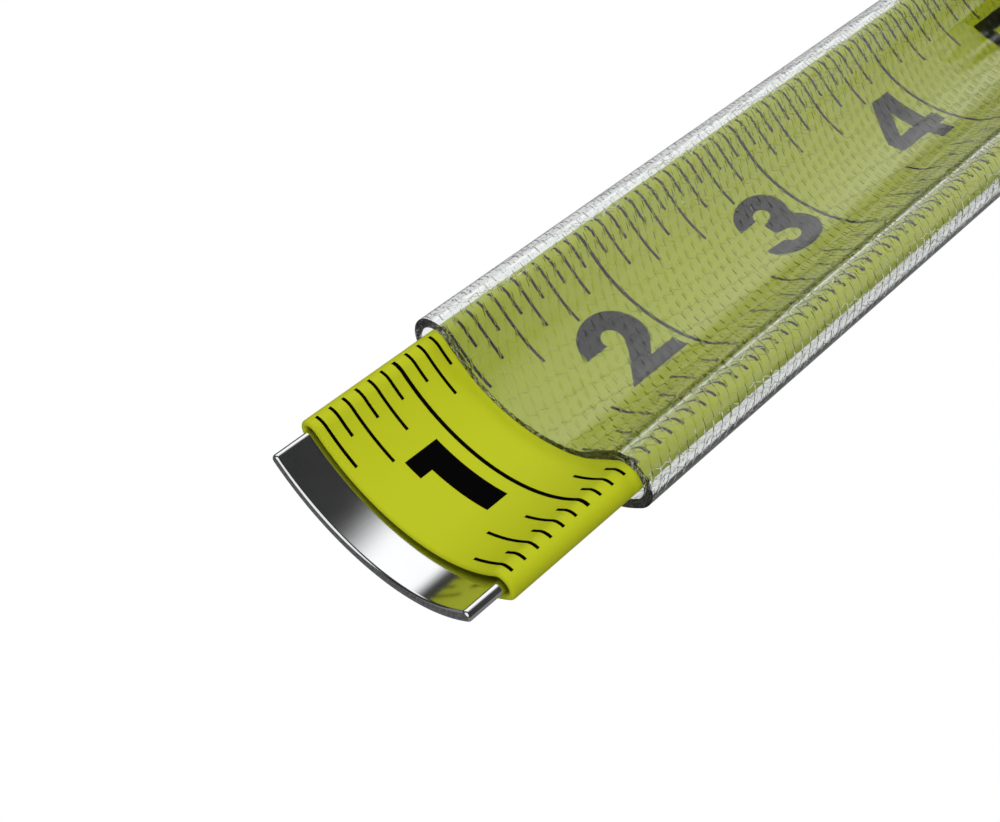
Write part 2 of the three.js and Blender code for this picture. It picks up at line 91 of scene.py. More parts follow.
def face_out(mesh, sharp_degrees=SHARP_DEGREES):
    build = bmesh.new()
    build.from_mesh(mesh)
    bmesh.ops.recalc_face_normals(build, faces=build.faces)
    build.to_mesh(mesh)
    build.free()
    mesh.shade_smooth()
    mesh.set_sharp_from_angle(angle=math.radians(sharp_degrees))


def place(mesh, material, body, replaces=()):
    """Makes a piece of a mesh: it rides on a body, and stands for the nodes it replaces."""
    piece = bpy.data.objects.new(mesh.name, mesh)
    bpy.context.scene.collection.objects.link(piece)
    mesh.materials.clear()
    mesh.materials.append(material)
    if body:
        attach(piece, body)
    if replaces:
        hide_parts(*replaces)
    return piece


def ring_faces(ring_count, count):
    """Faces that join neighbouring rings of count points each."""
    return [
        (i * count + k, i * count + (k + 1) % count, (i + 1) * count + (k + 1) % count, (i + 1) * count + k)
        for i in range(ring_count - 1)
        for k in range(count)
    ]


def joined_rings(rings):
    """Points and faces that join rings of the same count of points, with both ends closed."""
    count = len(rings[0])
    points = [point for ring in rings for point in ring]
    ends = [tuple(range(count)), tuple(range(len(points) - count, len(points)))]
    return points, ring_faces(len(rings), count) + ends


def merged(parts):
    """The points and faces of several parts as one."""
    points, faces = [], []
    for part_points, part_faces in parts:
        faces += [tuple(len(points) + k for k in face) for face in part_faces]
        points += part_points
    return points, faces


def on_cup(angle, radius):
    return radius * math.sin(angle), CUP_Z - radius * math.cos(angle)


def cupped_loop(middle, edge, arc_steps, end_steps):
    """A cupped band's section as (y, z).

    It runs below from its middle to -Y, round that end, over the top and back.
    """

    def half(angle):
        return middle + (edge - middle) * smoothstep(abs(angle) / CUP_ANGLE, 0.55, 0.88)

    def arc(angles, side):
        return [on_cup(a, CUP_RADIUS + side * half(a)) for a in angles]

    centre_y, centre_z = on_cup(CUP_ANGLE, CUP_RADIUS)
    turns = CUP_ANGLE + np.linspace(math.pi / 2, -math.pi / 2, end_steps + 1)[1:-1]
    end = [(centre_y + edge * math.cos(a), centre_z + edge * math.sin(a)) for a in turns]
    other_end = [(-y, z) for y, z in end[::-1]]
    half_arc = np.linspace(0, CUP_ANGLE, arc_steps // 2 + 1)
    over = np.linspace(-CUP_ANGLE, CUP_ANGLE, arc_steps + 1)
    return arc(-half_arc, 1) + other_end + arc(over, -1) + end + arc(half_arc[:0:-1], 1)


def loop_lengths(loop):
    """Distance round a loop from its first point, positive towards -Y and zero in the middle of the top."""
    ends = np.array(loop + loop[:1])
    run = np.concatenate([[0], np.cumsum(np.hypot(*np.diff(ends, axis=0).T))])
    return run[-1] / 2 - run


def loft(name, stations, closed, arc_steps=64, end_steps=16):
    """Joins sections at stations of (x, middle half thickness, edge half thickness).

    A closed loft is a sleeve, whose last station meets its first. Its UV map holds millimetres: the distance
    along the scale, and the distance round the section from the middle of the top.
    """
    loops = [cupped_loop(middle, edge, arc_steps, end_steps) for _, middle, edge in stations]
    count = len(loops[0])
    points = [(x, y, z) for (x, _, _), loop in zip(stations, loops) for y, z in loop]
    spans = len(stations) if closed else len(stations) - 1
    faces = []
    for i in range(spans):
        here, there = i * count, (i + 1) % len(stations) * count
        for k in range(count):
            following = (k + 1) % count
            faces.append((here + k, here + following, there + following, there + k))
    if not closed:
        faces += [tuple(range(count)), tuple(range((len(stations) - 1) * count, len(points)))]
    mesh = mesh_from(name, points, faces)
    write_uv(mesh, count, [loop_lengths(loop) for loop in loops])
    return mesh


def write_uv(mesh, count, lengths):
    layer = mesh.uv_layers.new(name="scale")
    for face in mesh.polygons:
        last_column = face.index % count == count - 1
        for corner in face.loop_indices:
            vertex = mesh.loops[corner].vertex_index
            station, k = divmod(vertex, count)
            k = count if k == 0 and last_column else k
            along = SCALE_ZERO_X - mesh.vertices[vertex].co.x / MM
            layer.data[corner].uv = along, lengths[station][k]


HOLD = 0.03  # how far behind a rounded front the last plain ring keeps the long surface's shading straight


def rounded_front(front, half, radius, steps=6):
    """Stations that round a solid band's front edge."""
    turns = np.linspace(0, math.pi / 2, steps + 1)
    rounding = [(front - radius * (1 - math.sin(a)), half - radius * (1 - math.cos(a))) for a in turns]
    return [(x, h, h) for x, h in [(front - radius - HOLD, half), *rounding]]


def sleeve_stations(front, outer, inner, lip, ring_xs=(), steps=5, face_rings=0):
    """Stations of a sleeve, out along its outside, round its lip, and back inside.

    outer and inner are (middle, edge) half thicknesses, lip is the radius of the front's rounded corners, and
    face_rings is the number of rings on its flat front face.
    """

    def corner(turn, halves, side):
        return front - lip * (1 - math.sin(turn)), *(h + side * lip * (1 - math.cos(turn)) for h in halves)

    turns = np.linspace(0, math.pi / 2, steps + 1)
    outside = [corner(turn, outer, -1) for turn in turns]
    inside = [corner(turn, inner, 1) for turn in turns[::-1]]
    face_starts, face_ends = np.array(outside[-1]), np.array(inside[0])
    shares = np.linspace(0, 1, face_rings + 2)[1:-1]
    face = [tuple(face_starts + share * (face_ends - face_starts)) for share in shares]
    hold = front - lip - HOLD
    rings = [(x, *outer) for x in (BLADE_INNER_X, *ring_xs, hold)]
    return rings + outside + face + inside + [(hold, *inner), (BLADE_INNER_X, *inner)]


# ---------- Shaders ----------


class Shader:
    """The node tree of a material or a world, made by short calls.

    A socket given as an input is linked, and a number is set.
    """

    def __init__(self, name, world=False):
        self.output = "OutputWorld" if world else "OutputMaterial"
        self.owner = (bpy.data.worlds if world else bpy.data.materials).new(name)
        self.owner.use_nodes = True
        self.tree = self.owner.node_tree
        self.tree.nodes.clear()

    def add(self, kind, inputs=None, output=0, **settings):
        node = self.tree.nodes.new("ShaderNode" + kind)
        for name, value in settings.items():
            setattr(node, name, value)
        for key, value in (inputs or {}).items():
            if isinstance(value, bpy.types.NodeSocket):
                self.tree.links.new(value, node.inputs[key])
            else:
                node.inputs[key].default_value = value
        return node.outputs[output]

    def math(self, operation, a, b=0.0, c=0.0, clamp=False):
        return self.add("Math", {0: a, 1: b, 2: c}, operation=operation, use_clamp=clamp)

    def position(self):
        return self.add("TexCoord", output="Object")

    def uv(self):
        return self.add("UVMap", uv_map="scale")

    def stretched(self, vector, scale):
        return self.add("Mapping", {"Vector": vector, "Scale": scale})

    def noise(self, vector, scale, detail=3.0, roughness=0.55):
        inputs = {"Vector": vector, "Scale": scale, "Detail": detail, "Roughness": roughness}
        return self.add("TexNoise", inputs)

    def spread(self, value, low, high, from_low=0.3, from_high=0.7):
        """A value between from_low and from_high, spread between low and high."""
        inputs = {"Value": value, 1: from_low, 2: from_high, 3: low, 4: high}
        return self.add("MapRange", inputs)

    def tint(self, factor, first, second):
        colours = {"Factor": factor, 6: (*first, 1), 7: (*second, 1)}
        return self.add("Mix", colours, output=2, data_type="RGBA")

    def bump(self, height, distance_mm, strength=1.0, normal=None):
        inputs = {"Height": height, "Distance": distance_mm * MM, "Strength": strength}
        if normal:
            inputs["Normal"] = normal
        return self.add("Bump", inputs)

    def surface(self, **inputs):
        """A Principled shader on the output. Underscores in the names stand for spaces."""
        named = {name.replace("_", " "): value for name, value in inputs.items()}
        return self.finish(self.add("BsdfPrincipled", named))

    def finish(self, shader):
        """Puts a shader on the output, and gives the material or world."""
        node = self.tree.nodes.new("ShaderNode" + self.output)
        self.tree.links.new(shader, node.inputs["Surface"])
        return self.owner


# How far forwards the steel faces where its sawn front begins and is whole, and the front's extra roughness.
# The sawn front's dark tone is painted shade; its grain and roughness are the cut's own.
SAWN_FROM, SAWN_FULL, SAWN_ROUGHNESS = 0.75, 0.95, 0.2


def polished_steel():
    """Steel polished along the blade, and grained and rougher on its sawn front, which is darkened with
    painted shade.
    """
    shader = Shader("polished_steel")
    along = shader.stretched(shader.position(), (300, 4000, 4000))
    streaks = shader.noise(along, 1.0, detail=4)
    smudge = shader.noise(shader.position(), 90)
    grain = shader.spread(shader.noise(shader.position(), 3500, detail=4), 0.0, 1.0)
    facing = shader.add("SeparateXYZ", {0: shader.add("TexCoord", output="Normal")}, output="X")
    sawn = shader.add("MapRange", {"Value": facing, 1: SAWN_FROM, 2: SAWN_FULL})
    polished = shader.tint(smudge, (0.50, 0.505, 0.515), (0.60, 0.605, 0.61))
    # The sawn front's colour: its grain is the cut's own, and its dark tone is painted shade.
    cut = shader.tint(grain, (0.07, 0.07, 0.07), (0.36, 0.36, 0.36))
    return shader.surface(
        Base_Color=shader.add("Mix", {"Factor": sawn, 6: polished, 7: cut}, output=2, data_type="RGBA"),
        Metallic=1.0,
        Roughness=shader.math("MULTIPLY_ADD", sawn, SAWN_ROUGHNESS, shader.spread(smudge, 0.10, 0.14)),
        Normal=shader.bump(streaks, 0.002, 0.5),
    )


def coat_paint():
    shader = Shader("coat_paint")
    grain = shader.noise(shader.position(), 5200, detail=2)
    cloud = shader.noise(shader.position(), 45)
    return shader.surface(
        Base_Color=shader.tint(cloud, (0.470, 0.520, 0.0125), (0.500, 0.550, 0.0135)),
        Roughness=shader.spread(cloud, 0.55, 0.65),
        Specular_IOR_Level=0.08,
        Normal=shader.bump(grain, 0.012, 0.5),
    )


def printing_ink():
    shader = Shader("printing_ink")
    grain = shader.noise(shader.position(), 4000)
    return shader.surface(
        Base_Color=shader.tint(grain, (0.0012, 0.0012, 0.0012), (0.003, 0.003, 0.003)),
        Roughness=shader.spread(grain, 0.6, 0.72),
        Specular_IOR_Level=0.0,
    )


# The jacket's embossing, in millimetres: leaning strokes in tilted rows, and zigzag lines between them
STROKE_PITCH, STROKE_ROW, STROKE_SHIFT = 1.41, 1.38, 0.33
STROKE_TILT, STROKE_LEAN, STROKE_HALF_LENGTH, STROKE_HALF_WIDTH = 0.2, 0.42, 0.45, 0.10
ZIGZAG_PITCH, ZIGZAG_ROW, ZIGZAG_TILT, ZIGZAG_RISE, ZIGZAG_HALF_WIDTH = 1.45, 2.76, -0.19, 0.34, 0.07
STROKE_SIDE_SOFTNESS, STROKE_END_SOFTNESS, ZIGZAG_SOFTNESS = 0.09, 0.06, 0.05
ZIGZAG_DEPTH = 0.6  # as a share of the strokes' height
EMBOSSING_HEIGHT = 0.027
HATCH_TURN = 0.38


def ridge(shader, distance, half_width, softness):
    """1 where distance is small, falling to 0 just beyond half_width."""
    size = shader.math("ABSOLUTE", distance)
    return shader.add("MapRange", {"Value": size, 1: half_width, 2: half_width - softness, 3: 0.0, 4: 1.0})


def strokes(shader, along, around):
    row_place = shader.math("DIVIDE", shader.math("MULTIPLY_ADD", along, -STROKE_TILT, around), STROKE_ROW)
    shift = shader.math("MULTIPLY", shader.math("FLOOR", row_place), STROKE_SHIFT)
    column_place = shader.math("ADD", shader.math("DIVIDE", along, STROKE_PITCH), shift)
    up = shader.math("MULTIPLY_ADD", shader.math("FRACT", row_place), STROKE_ROW, -STROKE_ROW / 2)
    over = shader.math("MULTIPLY_ADD", shader.math("FRACT", column_place), STROKE_PITCH, -STROKE_PITCH / 2)
    leaning = shader.math("MULTIPLY_ADD", up, -STROKE_LEAN, over)
    line = ridge(shader, leaning, STROKE_HALF_WIDTH, STROKE_SIDE_SOFTNESS)
    ends = ridge(shader, up, STROKE_HALF_LENGTH, STROKE_END_SOFTNESS)
    return shader.math("MULTIPLY", line, ends)


def zigzags(shader, along, around):
    wave = shader.math("PINGPONG", along, ZIGZAG_PITCH / 2)
    bent = shader.math("MULTIPLY_ADD", wave, ZIGZAG_RISE * 2 / ZIGZAG_PITCH, around)
    tilted = shader.math("MULTIPLY_ADD", along, -ZIGZAG_TILT, bent)
    place_in_row = shader.math("FRACT", shader.math("DIVIDE", tilted, ZIGZAG_ROW))
    distance = shader.math("MULTIPLY_ADD", place_in_row, ZIGZAG_ROW, -ZIGZAG_ROW / 2)
    return ridge(shader, distance, ZIGZAG_HALF_WIDTH, ZIGZAG_SOFTNESS)


def embossing(shader):
    split = shader.add("SeparateXYZ", {0: shader.uv()})
    along, around = split, split.node.outputs[1]
    sunk, raised = zigzags(shader, along, around), strokes(shader, along, around)
    return shader.math("MULTIPLY_ADD", sunk, -ZIGZAG_DEPTH, raised)


def clear_vinyl():
    shader = Shader("clear_vinyl")
    hatch_place = shader.add("Mapping", {"Vector": shader.uv(), "Rotation": (0, 0, HATCH_TURN)})
    waves = {"Vector": hatch_place, "Scale": 1.0, "Distortion": 1.2, "Detail": 2.0, "Detail Scale": 2.0}
    patches = shader.spread(shader.noise(shader.position(), 420, detail=2), 0.1, 1.0, 0.42, 0.62)
    hatch = shader.math("MULTIPLY", shader.add("TexWave", waves, output=1, wave_profile="TRI"), patches)
    ripple = shader.noise(shader.position(), 900, detail=2)
    soft = shader.bump(ripple, 0.006, 0.7)
    fine = shader.bump(hatch, 0.006, 0.8, normal=soft)
    embossed = shader.bump(embossing(shader), EMBOSSING_HEIGHT, 1.0, normal=fine)
    vinyl = shader.add(
        "BsdfPrincipled",
        {
            "Base Color": (0.88, 0.90, 0.89, 1),
            "Roughness": 0.02,
            "IOR": 1.46,
            "Specular IOR Level": 0.38,
            "Transmission Weight": 1.0,
            "Normal": embossed,
        },
    )
    clear = shader.add("BsdfTransparent", {"Color": (0.70, 0.72, 0.70, 1)})
    is_shadow = shader.add("LightPath", output="Is Shadow Ray")
    return shader.finish(shader.add("MixShader", {0: is_shadow, 1: vinyl, 2: clear}))


def moulded(name, dark, light, roughness, grain_scale, grain_mm, coat=0.0):
    """Moulded plastic or rubber with a spark-eroded grain."""
    shader = Shader(name)
    grain = shader.noise(shader.position(), grain_scale, detail=5, roughness=0.65)
    cloud = shader.noise(shader.position(), 60, detail=4)
    return shader.surface(
        Base_Color=shader.tint(cloud, dark, light),
        Roughness=shader.spread(cloud, roughness - 0.06, roughness + 0.06),
        Coat_Weight=coat,
        Coat_Roughness=0.25,
        Normal=shader.bump(grain, grain_mm, 0.8),
    )


def knurled_rubber():
    """Rubber with a small diamond knurl."""
    shader = Shader("knurled_rubber")
    turned = shader.add("Mapping", {"Vector": shader.position(), "Rotation": (0.0, 0.785, 0.0)})
    lattice = {"Vector": turned, "Scale": 620.0, "Randomness": 0.0}
    cells = shader.add("TexVoronoi", lattice, distance="MANHATTAN")
    grain = shader.noise(shader.position(), 3000, detail=4)
    knurl = shader.bump(shader.spread(cells, 1.0, 0.0, 0.2, 0.9), 0.22, 0.8)
    cloud = shader.noise(shader.position(), 70)
    return shader.surface(
        Base_Color=shader.tint(cloud, (0.011, 0.0115, 0.012), (0.022, 0.0225, 0.024)),
        Roughness=shader.spread(cloud, 0.62, 0.78),
        Specular_IOR_Level=0.4,
        Normal=shader.bump(grain, 0.02, 0.7, normal=knurl),
    )


def brushed_metal(name, dark, light, stretch, roughness=0.3, anisotropic=0.4):
    """Metal with fine brush lines, long where stretch is small."""
    shader = Shader(name)
    lines = shader.noise(shader.stretched(shader.position(), stretch), 1.0, detail=5, roughness=0.7)
    cloud = shader.noise(shader.position(), 55)
    return shader.surface(
        Base_Color=shader.tint(lines, dark, light),
        Metallic=1.0,
        Roughness=shader.spread(cloud, roughness - 0.05, roughness + 0.07),
        Anisotropic=anisotropic,
        Normal=shader.bump(lines, 0.01, 0.7),
    )


def spun_metal():
    """Metal brushed in circles about the reel's axis."""
    shader = Shader("spun_metal")
    to_axis = (-REEL_X * MM, 0, -REEL_Z * MM)
    centred = shader.add("Mapping", {"Vector": shader.position(), "Location": to_axis})
    flat = shader.add("VectorMath", {0: centred, 1: (1, 0, 1)}, operation="MULTIPLY")
    radius = shader.add("VectorMath", {0: flat}, output="Value", operation="LENGTH")
    rings = shader.noise(shader.add("CombineXYZ", {0: shader.math("MULTIPLY", radius, 5200)}), 1.0, detail=5)
    return shader.surface(
        Base_Color=shader.tint(rings, (0.50, 0.51, 0.52), (0.68, 0.69, 0.70)),
        Metallic=1.0,
        Roughness=shader.spread(rings, 0.24, 0.36),
        Normal=shader.bump(rings, 0.012, 0.7),
    )


# ---------- Blade ----------


def steel_core(material):
    stations = [(BLADE_INNER_X, STEEL_HALF, STEEL_HALF)] + rounded_front(STEEL_FRONT, STEEL_HALF, 0.3)
    mesh = loft("blade_steel", stations, closed=False)
    return place(mesh, material, "blade", ["steel_core"])


def printed_coat(material):
    inner = COAT_HALF - COAT_WALL
    stations = sleeve_stations(COAT_FRONT, (COAT_HALF, COAT_HALF), (inner, inner), lip=0.32)
    return place(loft("blade_coat", stations, closed=True), material, "blade", ["printed_coat"])


def clear_jacket(material):
    stations = sleeve_stations(
        JACKET_FRONT,
        (JACKET_HALF, JACKET_EDGE),
        (JACKET_INNER_HALF, JACKET_INNER_EDGE),
        lip=0.1,
        ring_xs=np.arange(20, JACKET_FRONT - 1, 4),
        face_rings=3,
    )
    mesh = loft("blade_jacket", stations, closed=True, arc_steps=120, end_steps=36)
    roughen_cut(mesh)
    return place(mesh, material, "blade", ["clear_jacket"])


# The jacket's sawn front: how close to it a point is moved, by how much at most, and which faces are flat
CUT_REACH, CUT_DEPTH, CUT_FACING = 0.02, 0.15, 0.5


def roughen_cut(mesh):
    """Moves the points of the jacket's sawn front face a little along the blade."""
    chance = np.random.default_rng(7)
    for vertex in mesh.vertices:
        if vertex.co.x > (JACKET_FRONT - CUT_REACH) * MM:
            vertex.co.x += chance.uniform(-CUT_DEPTH, 0.0) * MM
    for face in mesh.polygons:
        face.use_smooth = face.normal.x < CUT_FACING


# ---------- Printing on the coat ----------

INK_THICKNESS = 0.03
MARK_PITCH = INCH / 16
MARK_WIDTH, INCH_MARK_WIDTH = 0.31, 0.4
MARK_OUTER = 13.47  # the marks' ends at the blade's edges, as distance across from the middle
# How far in each mark reaches, on the -Y side and the +Y side, by the number of 1/16 inches it falls on
MARK_INNER = {1: (9.94, 10.9), 2: (7.43, 8.22), 4: (5.78, 6.5), 8: (4.6, 4.3)}


def on_coat(along, side, rise):
    """A point above the coat's top, at a distance along the scale and across from the middle, -Y positive."""
    radius = CUP_RADIUS - COAT_HALF
    reach = radius * CUP_ANGLE
    if abs(side) <= reach:
        y, z = on_cup(abs(side) / radius, radius - rise)
    else:
        turn = (abs(side) - reach) / COAT_HALF - CUP_ANGLE
        centre_y, centre_z = on_cup(CUP_ANGLE, CUP_RADIUS)
        y = centre_y + (COAT_HALF + rise) * math.sin(turn)
        z = centre_z + (COAT_HALF + rise) * math.cos(turn)
    return SCALE_ZERO_X - along, math.copysign(y, -side), z


def mark_strip(along, width, start, end):
    """A printed line across the blade, as the points and faces of a thin closed strip."""
    steps = max(4, round(abs(end - start) / 0.45))
    points = []
    for side in np.linspace(start, end, steps + 1):
        for shift, rise in ((-1, -1), (1, -1), (1, 1), (-1, 1)):
            points.append(on_coat(along + shift * width / 2, side, rise * INK_THICKNESS))
    faces = [(0, 1, 2, 3), tuple(4 * steps + k for k in range(4))]
    for i in range(steps):
        faces += [(4 * i + k, 4 * i + (k + 1) % 4, 4 * i + 4 + (k + 1) % 4, 4 * i + 4 + k) for k in range(4)]
    return points, faces


def mark_reach(sixteenths):
    return next(MARK_INNER[step] for step in (8, 4, 2, 1) if sixteenths % step == 0)


def scale_marks(material):
    strips = []
    for sixteenths in range(10, int((SCALE_ZERO_X - BLADE_INNER_X) / MARK_PITCH)):
        along = sixteenths * MARK_PITCH
        if sixteenths % 16 == 0:
            strips.append(mark_strip(along, INCH_MARK_WIDTH, -MARK_OUTER, MARK_OUTER))
        else:
            far, near = mark_reach(sixteenths)
            strips.append(mark_strip(along, MARK_WIDTH, far, MARK_OUTER))
            strips.append(mark_strip(along, MARK_WIDTH, -MARK_OUTER, -near))
    return place(mesh_from("scale_marks", *merged(strips)), material, "blade")


def bow(centre, radii, start, end, steps=18):
    """Points of an elliptical arc, by angles in degrees."""
    turns = np.radians(np.linspace(start, end, steps + 1))
    return [(centre[0] + radii[0] * math.cos(a), centre[1] + radii[1] * math.sin(a)) for a in turns]


# The numerals' outlines and holes, in millimetres from their lower left corner, 9.3 high
DIGIT_HEIGHT = 9.3
DIGITS = {
    1: [[(2.6, 9.3), (2.6, 0), (0, 0), (0, 7.15), (-1.45, 7.15), (-1.45, 9.3)]],
    2: [
        bow((4.07, 5.85), (4.0, 3.45), 183, -37)
        + [(5.15, 1.9), (8.45, 1.9), (8.45, 0), (0.2, 0), (4.1, 3.9)]
        + bow((4.1, 5.95), (1.15, 1.25), -35, 193, 12)
    ],
    3: [
        bow((4.1, 6.65), (3.7, 2.65), 184, -28, 16)
        + bow((4.15, 2.75), (4.15, 2.8), 42, -184, 20)
        + bow((4.15, 2.75), (1.3, 0.95), 184, 430, 10)
        + [(3.2, 3.95), (3.2, 5.55)]
        + bow((4.1, 6.6), (1.15, 0.85), -70, 184, 10)
    ],
    4: [
        [(7.5, 9.3), (7.5, 3.85), (8.8, 3.85), (8.8, 1.95), (7.5, 1.95), (7.5, 0), (5.0, 0)]
        + [(5.0, 1.95), (0, 1.95), (0, 4.0), (4.3, 9.3)],
        [(5.0, 3.85), (2.35, 3.85), (5.0, 6.95)],
    ],
    5: [
        [(7.9, 9.3), (7.9, 7.3), (3.2, 7.3), (3.0, 6.0)]
        + bow((4.2, 3.1), (4.1, 3.1), 100, -176, 22)
        + bow((4.2, 3.0), (1.35, 1.3), 184, 490, 14)
        + [(0.75, 4.0), (1.2, 9.3)]
    ],
    6: [
        bow((4.2, 4.65), (4.2, 4.65), 32, 180, 12)
        + bow((4.2, 3.1), (4.2, 3.1), 180, 360, 16)
        + bow((4.9, 3.2), (3.5, 2.9), 0, 125, 10)
        + bow((4.3, 6.0), (1.5, 1.4), 170, 30, 8),
        bow((4.3, 3.0), (1.35, 1.15), 0, 340, 14),
    ],
    7: [[(0.2, 9.3), (8.2, 9.3), (8.2, 7.5), (4.6, 0), (1.7, 0), (5.3, 7.2), (0.2, 7.2)]],
}
DIGIT_BEFORE = {1: 4.19, 2: 9.45, 3: 9.3, 4: 9.85}  # from a numeral's left side to its inch mark
DIGIT_BEFORE_REST = 9.5
DIGIT_LOW = -4.23  # the numerals' lower edge, across from the blade's middle
DIGIT_STRETCH = {1: 1.0}  # the 1 is a little lower than the rest
DIGIT_STRETCH_REST = 1.05


def flat_digit(number):
    """A numeral as a thin flat slab, cut into narrow bands so that it can bend with the blade."""
    curve = bpy.data.curves.new("numeral", "CURVE")
    curve.dimensions, curve.fill_mode, curve.extrude = "2D", "BOTH", INK_THICKNESS
    for outline in DIGITS[number]:
        spline = curve.splines.new("POLY")
        spline.points.add(len(outline) - 1)
        for point, (x, y) in zip(spline.points, outline):
            point.co = (x, y, 0, 1)
        spline.use_cyclic_u = True
    drawing = bpy.data.objects.new("numeral", curve)
    build = bmesh.new()
    build.from_mesh(drawing.to_mesh())
    drawing.to_mesh_clear()
    bpy.data.objects.remove(drawing)
    bmesh.ops.remove_doubles(build, verts=build.verts, dist=1e-4)
    for level in np.arange(0.5, DIGIT_HEIGHT, 0.5):
        parts = build.verts[:] + build.edges[:] + build.faces[:]
        bmesh.ops.bisect_plane(build, geom=parts, plane_co=(0, level, 0), plane_no=(0, 1, 0))
    return build


def numeral(number, material):
    build = flat_digit(number)
    left = number * INCH - DIGIT_BEFORE.get(number, DIGIT_BEFORE_REST)
    stretch = DIGIT_STRETCH.get(number, DIGIT_STRETCH_REST)
    for vertex in build.verts:
        x, y, z = vertex.co
        vertex.co = Vector(on_coat(left + x, DIGIT_LOW + stretch * y, z)) * MM
    mesh = bpy.data.meshes.new(f"numeral_{number}")
    build.to_mesh(mesh)
    build.free()
    face_out(mesh)
    return place(mesh, material, "blade")


# ---------- Pieces made from the frame's own solids ----------


# Points closer than WELD metres are one, and faces within COPLANAR_DEGREES are merged
WELD, COPLANAR_DEGREES, ROUNDING_STEPS = 2e-6, 0.6, 3


def refined(node, material, body, bevel_mm=0.0):
    """A node's solid with its coplanar triangles merged and its sharp edges rounded."""
    build = bmesh.new()
    build.from_mesh(NODES[node].data)
    bmesh.ops.remove_doubles(build, verts=build.verts, dist=WELD)
    bmesh.ops.dissolve_limit(
        build,
        angle_limit=math.radians(COPLANAR_DEGREES),
        verts=build.verts,
        edges=build.edges,
        use_dissolve_boundaries=False,
    )
    mesh = bpy.data.meshes.new(node + "_finish")
    build.to_mesh(mesh)
    build.free()
    face_out(mesh, SOLID_SHARP_DEGREES)
    piece = place(mesh, material, body, [node])
    if bevel_mm:
        rounding = piece.modifiers.new("rounding", "BEVEL")
        rounding.width = bevel_mm * MM
        rounding.segments = ROUNDING_STEPS
        rounding.limit_method = "ANGLE"
        rounding.angle_limit = math.radians(SOLID_SHARP_DEGREES)
        rounding.harden_normals = True
    return piece


# ---------- Badge and thumb ribs ----------

# The badge's section as (radius, Y): a rolled rim, a groove inside it, and a shallow dish
BADGE_SECTION = [
    (15.0, 18.7),
    (15.0, 19.4),
    (14.7, 19.75),
    (13.9, 19.8),
    (13.5, 19.6),
    (13.3, 19.25),
    (12.6, 19.25),
    (12.4, 19.6),
    (11.9, 19.7),
    (8.0, 19.55),
    (4.0, 19.45),
]
RIB_RADIUS, RIB_HALF_LENGTH = 0.5, 6.6
RIB_SWELL = [(-1, 0.35), (-0.97, 0.75), (-0.92, 1), (0.92, 1), (0.97, 0.75), (1, 0.35)]
# RIB_SWELL rounds a rib's ends, by shares of its half length and radius. RIB_PLACES are along the slope and
# out of it.
RIB_PLACES = [(12.4, 3.1), (14.2, 2.85), (16.0, 2.7), (17.8, 2.95), (19.6, 3.15)]
SLOPE_FOOT, SLOPE_UP, SLOPE_OUT = np.array((44, 24)), np.array((-0.371, 0.929)), np.array((0.929, 0.371))


def ringed_badge(material):
    turns = np.linspace(0, 2 * math.pi, 97)[:-1]
    rings = [
        [(REEL_X + r * math.cos(a), y, REEL_Z + r * math.sin(a)) for a in turns] for r, y in BADGE_SECTION
    ]
    mesh = mesh_from("badge_finish", *joined_rings(rings))
    return place(mesh, material, "case", ["badge"])


def button_ribs(material):
    """Round bars across the lock button, for the thumb."""
    ribs = [joined_rings(rib_rings(along, out)) for along, out in RIB_PLACES]
    return place(mesh_from("button_ribs", *merged(ribs)), material, "lock")


def rib_rings(along, out):
    x, z = SLOPE_FOOT + along * SLOPE_UP + out * SLOPE_OUT
    turns = np.linspace(0, 2 * math.pi, 17)[:-1]
    rings = []
    for share, size in RIB_SWELL:
        radius, y = RIB_RADIUS * size, share * RIB_HALF_LENGTH
        rings.append([(x + radius * math.cos(a), y, z + radius * math.sin(a)) for a in turns])
    return rings


# ---------- Belt clip ----------

CLIP_CORNER_RADIUS, CLIP_ROUNDING = 2.2, 0.25
CLIP_LENGTH = 100  # about the length of the clip's line


def clip_line():
    """The clip's centre line in Y and Z, from the plate's lower end over the bend to the flared foot."""
    turns = np.linspace(0, math.pi, 25)
    radius = CLIP_BEND_RADIUS
    bend = [(CLIP_BEND_Y + radius * math.cos(a), CLIP_BEND_Z + radius * math.sin(a)) for a in turns]
    outer = CLIP_BEND_Y - CLIP_BEND_RADIUS
    plate = [(CLIP_BEND_Y + CLIP_BEND_RADIUS, z) for z in np.linspace(34, 64, 16)]
    arm = [(outer + 0.5 * (66 - z) / 40, z) for z in np.linspace(64, 26, 16)]
    foot = [(outer + out, z) for out, z in ((0.47, 24.5), (0.2, 22.5), (-0.5, 20), (-1.2, 17.8), (-1.8, 16))]
    return plate + bend + arm + foot


def clip_half_width(share):
    """The clip's half width at a share of its line: its plate and foot have rounded corners."""
    from_end = min(share, 1 - share) * CLIP_LENGTH
    inset = 1 - min(from_end / CLIP_CORNER_RADIUS, 1)
    return CLIP_HALF_WIDTH - CLIP_CORNER_RADIUS * (1 - math.sqrt(max(0.0, 1 - inset**2)))


def belt_clip(material):
    line = np.array(clip_line())
    along = np.gradient(line, axis=0)
    along /= np.linalg.norm(along, axis=1)[:, None]
    normal = np.stack([-along[:, 1], along[:, 0]], axis=1) * CLIP_THICKNESS / 2
    widths = np.linspace(-1, 1, 9)
    rings = []
    for (y, z), (ny, nz), share in zip(line, normal, np.linspace(0, 1, len(line))):
        half = clip_half_width(share)
        over = [(REEL_X + w * half, y + ny, z + nz) for w in widths]
        rings.append(over + [(REEL_X + w * half, y - ny, z - nz) for w in widths[::-1]])
    mesh = mesh_from("belt_clip", *joined_rings(rings))
    piece = place(mesh, material, None, ["clip_plate", "clip_arm"])
    rounding = piece.modifiers.new("rounding", "BEVEL")
    rounding.width, rounding.segments, rounding.limit_method = CLIP_ROUNDING * MM, ROUNDING_STEPS, "ANGLE"
    rounding.harden_normals = True
    return piece


# ---------- Studio ----------

